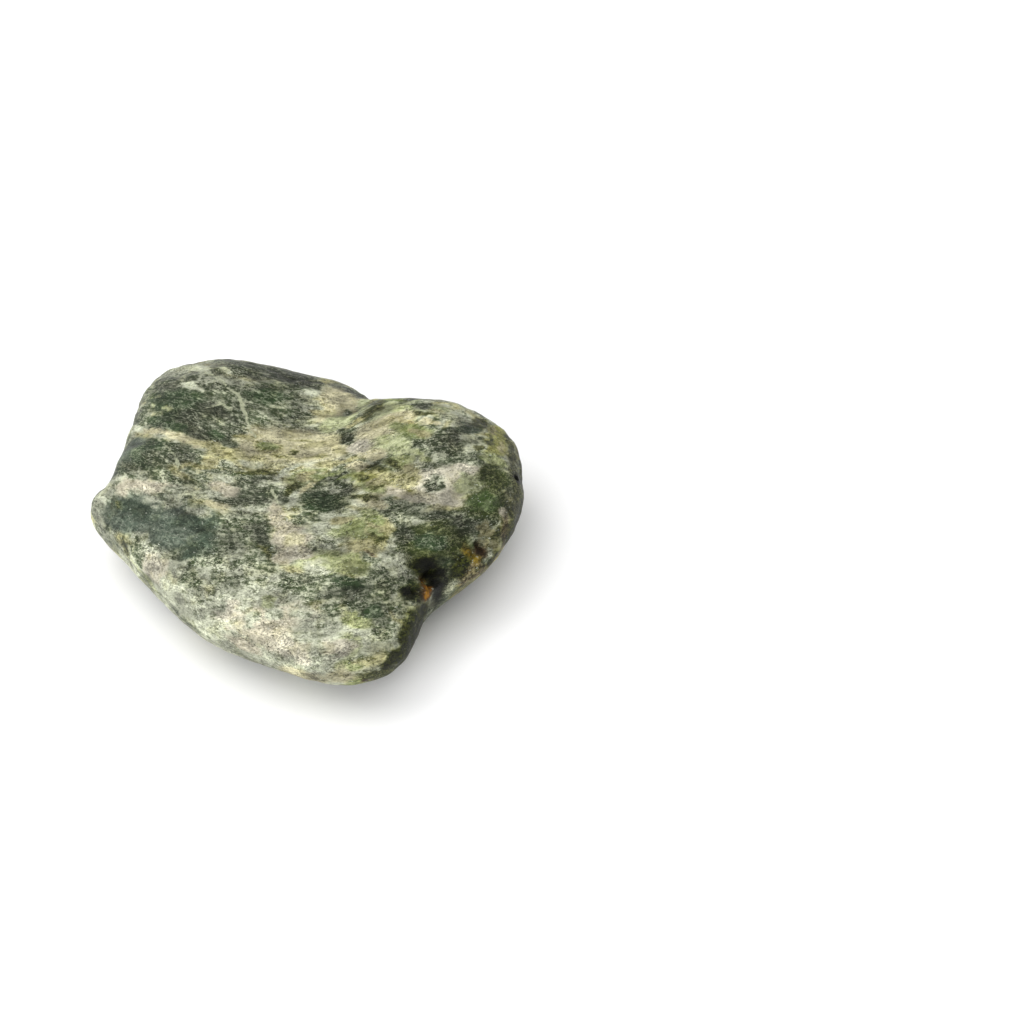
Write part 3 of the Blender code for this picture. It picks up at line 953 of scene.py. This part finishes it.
class Graph:
    """A material's nodes. node() adds one of any type."""

    def __init__(self, name):
        self.material = bpy.data.materials.new(name)
        self.material.use_nodes = True
        self.tree = self.material.node_tree
        self.shader = self.tree.nodes["Principled BSDF"]

    def node(self, kind, settings=None, inputs=None, output=0):
        made = self.tree.nodes.new(kind)
        for name, value in (settings or {}).items():
            setattr(made, name, value)
        for name, value in (inputs or {}).items():
            self.put(made.inputs[name], value)
        return Value(self, made.outputs[output])

    def put(self, socket, value):
        if isinstance(value, Value):
            self.tree.links.new(value.socket, socket)
        else:
            socket.default_value = value

    def attribute(self, name, output):
        settings = {"attribute_type": "GEOMETRY", "attribute_name": name}
        return self.node("ShaderNodeAttribute", settings, output=output)

    def mix(self, share, first, second, way="MIX"):
        """Blends two colours; a colour is a wrapped socket or four numbers."""
        settings = {"data_type": "RGBA", "blend_type": way}
        return self.node("ShaderNodeMix", settings, {"Factor": share, 6: first, 7: second}, output=2)

    def squeezed(self, vector, scale):
        settings = {"operation": "MULTIPLY"}
        return self.node("ShaderNodeVectorMath", settings, {0: vector, 1: scale})

    def noise(self, vector, scale, detail, roughness):
        inputs = {"Vector": vector, "Scale": scale, "Detail": detail, "Roughness": roughness}
        return self.node("ShaderNodeTexNoise", {"noise_dimensions": "3D"}, inputs)


def eye_colour(red, green, blue):
    """A colour as the eye sees it, from 0 to 255, as the four linear numbers a socket takes."""
    return (*(to_linear((red, green, blue)) / WHITE_LEVEL), 1.0)


# %% [markdown]
# The grains are sown with noise. Streaks and dashes squeezed to follow the layers and round clumps are added up, and
# where the sum lies below a threshold there is a pale grain. The painted share moves the threshold, so the same noise
# gives a few pale flecks in the green areas and a few dark ones in the cream bands. Real stone is also not equally
# flecked all over, so one slow noise tells busy areas, where the grains are crisp, from calm ones, where they melt.

# %% The noises and the grains
# Noises that follow the layers: how they are squeezed, then scale, detail and roughness.
LAYERED_NOISES = {
    "streaks": ((0.65, 1.5, 1.2), 1.0, 5.0, 0.66),
    "dashes": ((1.0, 1.7, 1.4), 1.6, 3.0, 0.64),
    "ridges": ((0.7, 1.5, 1.1), 0.9, 5.0, 0.64),
    "cracks": ((0.8, 1.5, 1.3), 1.3, 5.0, 0.72),
}
# Noises that are the same in all directions: scale, detail and roughness.
ROUND_NOISES = {
    "clumps": (1.5, 5.0, 0.66),
    "grit": (3.2, 3.0, 0.7),
    "clouds": (0.5, 3.0, 0.6),
    "tint": (0.33, 3.0, 0.6),
    "busyness": (0.3, 2.0, 0.5),
}
MIXTURE = {"streaks": 0.45, "clumps": 0.3, "dashes": 0.25}
SPREAD = 0.24
SOFT = 0.08
CRISP = 0.02
BUSY = (0.4, 0.6)
CALM_CRISPNESS = 0.35
BUSY_CRISPNESS = 0.4


def added_up(parts, weights, middle=0.0):
    """The sum of the named parts, each less its middle value and times its weight."""
    total = None
    for name, weight in weights.items():
        part = (parts[name] - middle) * weight
        total = part if total is None else total + part
    return total


def sow_grains(graph, share):
    """The noises, how busy the area is, and where a pale grain lies, each under its name."""
    layers = graph.attribute("layers", "Vector")
    place = graph.attribute("place", "Vector")
    sown = {}
    for name, (squeeze, *kind) in LAYERED_NOISES.items():
        sown[name] = graph.noise(graph.squeezed(layers, squeeze), *kind)
    for name, kind in ROUND_NOISES.items():
        sown[name] = graph.noise(place, *kind)
    sown["mixture"] = added_up(sown, MIXTURE)
    sown["busy"] = sown["busyness"].rises(*BUSY)
    surplus = (share - MIDDLE) * SPREAD + MIDDLE - sown["mixture"]
    crispness = CALM_CRISPNESS + sown["busy"] * BUSY_CRISPNESS
    soft_grains = surplus.rises(-SOFT, SOFT) * (1 - crispness)
    sown["grains"] = soft_grains + surplus.rises(-CRISP, CRISP) * crispness
    return sown


# %% [markdown]
# Between the grains a worn stone has finer marks: pale rubbed lines, dark cracks full of grime and single dark specks.
# Single bright specks are painted glints, standing in for light that glances off tiny crystal faces. A noise passes
# its middle value along thin winding lines, so lines come from how near it is to that value, and glints and specks
# from its highest and lowest spots. The veins come from the stored distance. Calm areas get fewer lines, specks and
# glints, and sheer black ones get no painted glints.

# %% Lines, specks and painted glints
CALM_MARKS = 0.4
BUSY_MARKS = 0.5
RUBBED_EDGE = (0.005, 0.03)
GRIMY_EDGE = (0.0, 0.018)
PAINTED_GLINT_LEVELS = (0.64, 0.69)
SPECK_LEVELS = (0.31, 0.36)
SHARE_WITH_PAINTED_GLINTS = (0.2, 0.4)
VEIN_EDGE = (0.12, 0.34)
VEIN_RAGGED = 0.7
VEIN_STRENGTH = 0.85


def draw_marks(graph, sown, share):
    """Adds the masks of the marks to what was sown."""
    marked = CALM_MARKS + sown["busy"] * BUSY_MARKS
    sown["rubbed"] = (1 - sown["ridges"].off_middle().rises(*RUBBED_EDGE)) * marked
    sown["grimy"] = (1 - sown["cracks"].off_middle().rises(*GRIMY_EDGE)) * marked
    # Painted glints: bright specks that stand in for light glancing off tiny crystal faces.
    sown["painted_glints"] = sown["dashes"].rises(*PAINTED_GLINT_LEVELS) * marked * share.rises(*SHARE_WITH_PAINTED_GLINTS)
    sown["specks"] = (1 - sown["dashes"].rises(*SPECK_LEVELS)) * marked
    distance = graph.attribute("vein", "Fac") + (sown["clumps"] - MIDDLE) * VEIN_RAGGED
    sown["vein"] = (1 - distance.rises(*VEIN_EDGE)) * VEIN_STRENGTH


# %% [markdown]
# Polished rock isn't one flat colour per grain either. Several of the noises together shade it lighter and darker, and
# more so in the gritty and busy areas. The lightest shade is capped, because a colour above white would glow. Some
# clouds also lean to olive, which multiplying by a yellowish colour does.

# %% Shades and tints
SHADES = {"clouds": 0.5, "grit": 1.9, "dashes": 2.0, "streaks": 1.0}
CALM_SHADES = 0.65
BUSY_SHADES = 0.6
BRIGHTEST = 1.15
TINT_LEVELS = (0.48, 0.66)
TINT_STRENGTH = 0.4
OLIVE_TINT = (0.98, 0.96, 0.70, 1.0)


def shade_and_tint(graph, sown, colour):
    grittiness = graph.attribute("grit", "Fac")
    contrast = added_up(sown, SHADES, MIDDLE) * grittiness * (CALM_SHADES + sown["busy"] * BUSY_SHADES)
    shade = (1.0 + contrast).maths("MINIMUM", BRIGHTEST)
    shaded = graph.node("ShaderNodeVectorMath", {"operation": "SCALE"}, {0: colour, "Scale": shade})
    return graph.mix(sown["tint"].rises(*TINT_LEVELS) * TINT_STRENGTH, shaded, OLIVE_TINT, "MULTIPLY")


# %% [markdown]
# The stone's finish is satin: the hard green mineral took a soft polish, and the pale one stayed a little rougher. So
# the grains set the roughness as well as the colour, and the same masks drive the bump, which makes a dark crack look
# cut in and a rubbed line look raised. Stone barely mirrors, so the specular level is low.

# %% The stone's finish
VEIN_COLOUR = eye_colour(176, 180, 150)
# The colour of the painted glints, small painted highlights.
PAINTED_GLINT_COLOUR = eye_colour(204, 208, 190)
GRIME_COLOUR = eye_colour(44, 46, 28)
POLISHED_ROUGHNESS = 0.46
PALE_ROUGHER_BY = 0.14
CLUMPS_ROUGHER_BY = 0.3
RELIEF = {"mixture": 0.7, "grains": 0.12, "painted_glints": 0.1, "rubbed": 0.2, "grimy": -0.3, "specks": -0.2}
BUMP_STRENGTH = 0.9
BUMP_HEIGHT = 0.28 * MM
STONE_IOR = 1.5
STONE_GLOSS = 0.15


def stone_finish():
    graph = Graph("satin_greenstone")
    dark_grains = graph.attribute("dark_grains", "Color")
    pale_grains = graph.attribute("pale_grains", "Color")
    share = graph.attribute("pale_share", "Fac")
    sown = sow_grains(graph, share)
    draw_marks(graph, sown, share)

    colour = graph.mix(sown["grains"], dark_grains, pale_grains)
    colour = graph.mix(sown["rubbed"], colour, pale_grains)
    colour = graph.mix(sown["grimy"], colour, GRIME_COLOUR)
    colour = shade_and_tint(graph, sown, colour)
    colour = graph.mix(sown["vein"], colour, VEIN_COLOUR)
    # Lays the painted glints over the colour.
    colour = graph.mix(sown["painted_glints"], colour, PAINTED_GLINT_COLOUR)
    colour = graph.mix(sown["specks"], colour, GRIME_COLOUR)

    clumpy = (sown["clumps"] - MIDDLE) * CLUMPS_ROUGHER_BY
    inputs = {"Strength": BUMP_STRENGTH, "Distance": BUMP_HEIGHT, "Height": added_up(sown, RELIEF)}
    sockets = graph.shader.inputs
    graph.put(sockets["Base Color"], colour)
    graph.put(sockets["Roughness"], POLISHED_ROUGHNESS + sown["grains"] * PALE_ROUGHER_BY + clumpy)
    graph.put(sockets["Normal"], graph.node("ShaderNodeBump", {}, inputs))
    sockets["IOR"].default_value = STONE_IOR
    sockets["Specular IOR Level"].default_value = STONE_GLOSS
    print("the stone's material has", len(graph.tree.nodes), "nodes")
    return graph.material


pebble.data.materials.append(stone_finish())
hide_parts("pebble")
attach(pebble, "root")

# %% [markdown]
# The stone lies on a white table. A plain white floor, lit until it is as white as the picture can show, leaves only
# the soft shadow that the stone throws.

# %% Floor
FLOOR_HALF = 700 * MM
FLOOR_WHITE = (0.92, 0.92, 0.92, 1.0)
FLOOR_ROUGHNESS = 0.9
FLOOR_GLOSS = 0.1


def white_floor():
    sheet = bmesh.new()
    bmesh.ops.create_grid(sheet, x_segments=1, y_segments=1, size=FLOOR_HALF)
    mesh = bpy.data.meshes.new("white_floor")
    sheet.to_mesh(mesh)
    sheet.free()
    floor = bpy.data.objects.new("white_floor", mesh)
    bpy.context.scene.collection.objects.link(floor)
    graph = Graph("white_card")
    graph.shader.inputs["Base Color"].default_value = FLOOR_WHITE
    graph.shader.inputs["Roughness"].default_value = FLOOR_ROUGHNESS
    graph.shader.inputs["Specular IOR Level"].default_value = FLOOR_GLOSS
    mesh.materials.append(graph.material)
    return floor


white_floor()

# %% [markdown]
# The light is that of a small studio. The stone's shadow is darkest at the right front, so the key lamp stands at the
# back left. A larger lamp overhead and another at the left front fill the shadows, and a white room lights the rest.
# Area lamps are used because their size makes the shadows soft.

# %% Lights
ROOM_WHITE = (1.0, 1.0, 1.0, 1.0)
ROOM_STRENGTH = 0.40
# Each lamp has its place and its side in millimetres, and its power in watts.
LAMPS = (
    ("key_lamp", (-280, 110, 380), 500, 1.3),
    ("overhead_lamp", (40, -60, 520), 700, 2.1),
    ("fill_lamp", (-260, -430, 200), 360, 1.9),
)


def area_lamp(name, place, side, power):
    light = bpy.data.lights.new(name, "AREA")
    light.size = side * MM
    light.energy = power
    lamp = bpy.data.objects.new(name, light)
    lamp.location = Vector(place) * MM
    lamp.rotation_euler = (-lamp.location).to_track_quat("-Z", "Y").to_euler()
    bpy.context.scene.collection.objects.link(lamp)


for lamp in LAMPS:
    area_lamp(*lamp)

scene = bpy.context.scene
scene.world = bpy.data.worlds.new("white_room")
scene.world.use_nodes = True
room = scene.world.node_tree.nodes["Background"]
room.inputs["Color"].default_value = ROOM_WHITE
room.inputs["Strength"].default_value = ROOM_STRENGTH
scene.view_settings.view_transform = "Standard"
print("lit by", len(LAMPS), "lamps and the room")

# %% [markdown]
# The photograph looks down at the stone at 45 degrees through a long lens, with the stone at the left of the frame.
# The camera aims at the frame's middle, which lies to the right of the stone.

# %% Camera
ELEVATION = math.radians(45.0)
LENS = 77.3
SENSOR = 36.0
AIM = Vector((31.2, 2.5, 8.0)) * MM
AWAY = 338.0 * MM
NEAREST = 10 * MM

camera = bpy.data.objects.new("camera", bpy.data.cameras.new("camera"))
scene.collection.objects.link(camera)
camera.data.lens = LENS
camera.data.sensor_width = SENSOR
camera.location = AIM + AWAY * Vector((0.0, -math.cos(ELEVATION), math.sin(ELEVATION)))
camera.rotation_euler = (math.pi / 2 - ELEVATION, 0.0, 0.0)
camera.data.clip_start = NEAREST
scene.camera = camera
